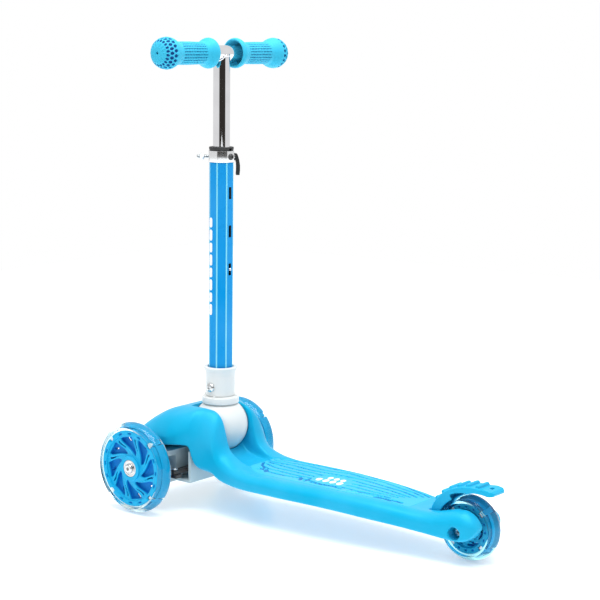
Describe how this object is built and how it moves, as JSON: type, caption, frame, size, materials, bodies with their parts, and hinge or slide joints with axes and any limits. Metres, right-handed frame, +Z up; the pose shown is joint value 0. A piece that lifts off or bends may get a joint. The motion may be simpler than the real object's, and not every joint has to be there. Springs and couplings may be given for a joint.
{
  "type": "kick scooter",
  "caption": "Children's kick scooter with paired lean-to-steer front wheels, height-adjustable clamped handlebar, curved moulded deck and a foot brake over the rear wheel",
  "frame": {"origin": "on the floor under the middle of the part's box", "axes": "+X is the rider's left, +Y points to the rear wheel so the scooter faces -Y, +Z is up"},
  "size_m": [0.239, 0.556, 0.6171],
  "materials": {
    "deck_blue": "moulded polypropylene, satin, fine texture",
    "tube_blue": "blue anodised aluminium extrusion",
    "grip_blue": "soft moulded rubber",
    "core_blue": "moulded plastic",
    "core_deep": "moulded plastic",
    "tyre_clear": "translucent cast polyurethane",
    "tyre_deep": "translucent cast polyurethane",
    "light_ring": "clear plastic light ring",
    "white": "satin moulded nylon",
    "housing_grey": "satin moulded nylon",
    "black_plastic": "satin moulded nylon",
    "black_steel": "black coated steel",
    "zinc": "zinc plated steel",
    "steel": "ground bearing steel",
    "chrome": "polished chrome plate",
    "aluminium": "brushed cast aluminium"
  },
  "bodies": {
    "chassis": {"deck": "deck_blue", "truck_housing": "housing_grey", "kingpin_left": "zinc", "kingpin_right": "zinc", "lean_pin": "zinc", "rear_axle_bolt": "zinc", "rear_axle_nut": "zinc", "rear_spacer_left": "steel", "rear_spacer_right": "steel", "brake_pin": "zinc"},
    "steering_head": {"steering_ball": "white", "head_collar": "white", "tube_socket": "white", "socket_bolt": "zinc", "socket_nut": "zinc", "lower_tube": "tube_blue", "tube_bushing": "black_plastic", "clamp_collar": "aluminium", "collar_screw": "black_steel", "clamp_skewer": "zinc", "cam_seat": "black_plastic", "clamp_nut": "zinc", "steering_tongue": "zinc"},
    "handlebar": {"stem_tube": "chrome", "crossbar": "chrome", "grip_left": "grip_blue", "grip_right": "grip_blue", "stem_bush": "black_plastic", "button_spring": "zinc"},
    "height_lock": {"lock_button": "zinc"},
    "clamp_handle": {"clamp_lever": "black_plastic", "lever_pin": "zinc"},
    "steer_left": {"knuckle_left": "black_steel", "axle_bolt_left": "zinc"},
    "steer_right": {"knuckle_right": "black_steel", "axle_bolt_right": "zinc"},
    "steer_link": {"tie_rod": "black_steel", "tie_pin_left": "zinc", "tie_pin_right": "zinc"},
    "wheel_left": {"left_tyre": "tyre_clear", "left_core": "core_blue", "left_light_ring": "light_ring", "left_bearing_a": "steel", "left_bearing_b": "steel"},
    "wheel_right": {"right_tyre": "tyre_clear", "right_core": "core_blue", "right_light_ring": "light_ring", "right_bearing_a": "steel", "right_bearing_b": "steel"},
    "wheel_rear": {"rear_tyre": "tyre_deep", "rear_core": "core_deep", "rear_light_ring": "light_ring", "rear_bearing_a": "steel", "rear_bearing_b": "steel"},
    "brake": {"brake_pedal": "deck_blue"}
  },
  "joints": [
    {"name": "steer_lean", "type": "hinge", "parent": "chassis", "child": "steering_head", "pos_m": [0, -0.16, 0.108], "axis": [0, 1, 0], "range_deg": [-8, 8], "stiffness_Nm_per_rad": 25},
    {"name": "left_steer", "type": "hinge", "parent": "chassis", "child": "steer_left", "pos_m": [0.072, -0.218, 0.06], "axis": [0, 0, 1], "range_deg": [-10.5, 10.5]},
    {"name": "right_steer", "type": "hinge", "parent": "chassis", "child": "steer_right", "pos_m": [-0.072, -0.218, 0.06], "axis": [0, 0, 1], "range_deg": [-10.5, 10.5]},
    {"name": "tie_rod_shift", "type": "slide", "parent": "chassis", "child": "steer_link", "axis": [1, 0, 0], "range_m": [-0.0079, 0.0079]},
    {"name": "left_wheel_spin", "type": "hinge", "parent": "steer_left", "child": "wheel_left", "pos_m": [0.1035, -0.218, 0.06], "axis": [1, 0, 0], "continuous": true},
    {"name": "right_wheel_spin", "type": "hinge", "parent": "steer_right", "child": "wheel_right", "pos_m": [-0.1035, -0.218, 0.06], "axis": [1, 0, 0], "continuous": true},
    {"name": "rear_wheel_spin", "type": "hinge", "parent": "chassis", "child": "wheel_rear", "pos_m": [0, 0.238, 0.04], "axis": [1, 0, 0], "continuous": true},
    {"name": "brake_press", "type": "hinge", "parent": "chassis", "child": "brake", "pos_m": [0, 0.193, 0.047], "axis": [-1, 0, 0], "range_deg": [0, 4], "stiffness_Nm_per_rad": 6},
    {"name": "height_adjust", "type": "slide", "parent": "steering_head", "child": "handlebar", "axis": [0, 0.0175, 0.9998], "range_m": [0, 0.15], "deforming": ["lock_button", "button_spring"]},
    {"name": "lock_button_press", "type": "slide", "parent": "handlebar", "child": "height_lock", "axis": [0, -0.9998, 0.0175], "range_m": [0, 0.0045], "stiffness_N_per_m": 400},
    {"name": "clamp_lever_open", "type": "hinge", "parent": "steering_head", "child": "clamp_handle", "pos_m": [-0.02934, -0.15841, 0.46253], "axis": [0.7071, 0.707, -0.0123], "range_deg": [0, 90], "stiffness_Nm_per_rad": 0.05}
  ],
  "couplings": [
    {"joint": "left_steer", "follows": "steer_lean", "ratio": 1.31},
    {"joint": "right_steer", "follows": "steer_lean", "ratio": 1.31},
    {"joint": "tie_rod_shift", "follows": "steer_lean", "m_per_rad": -0.056}
  ]
}
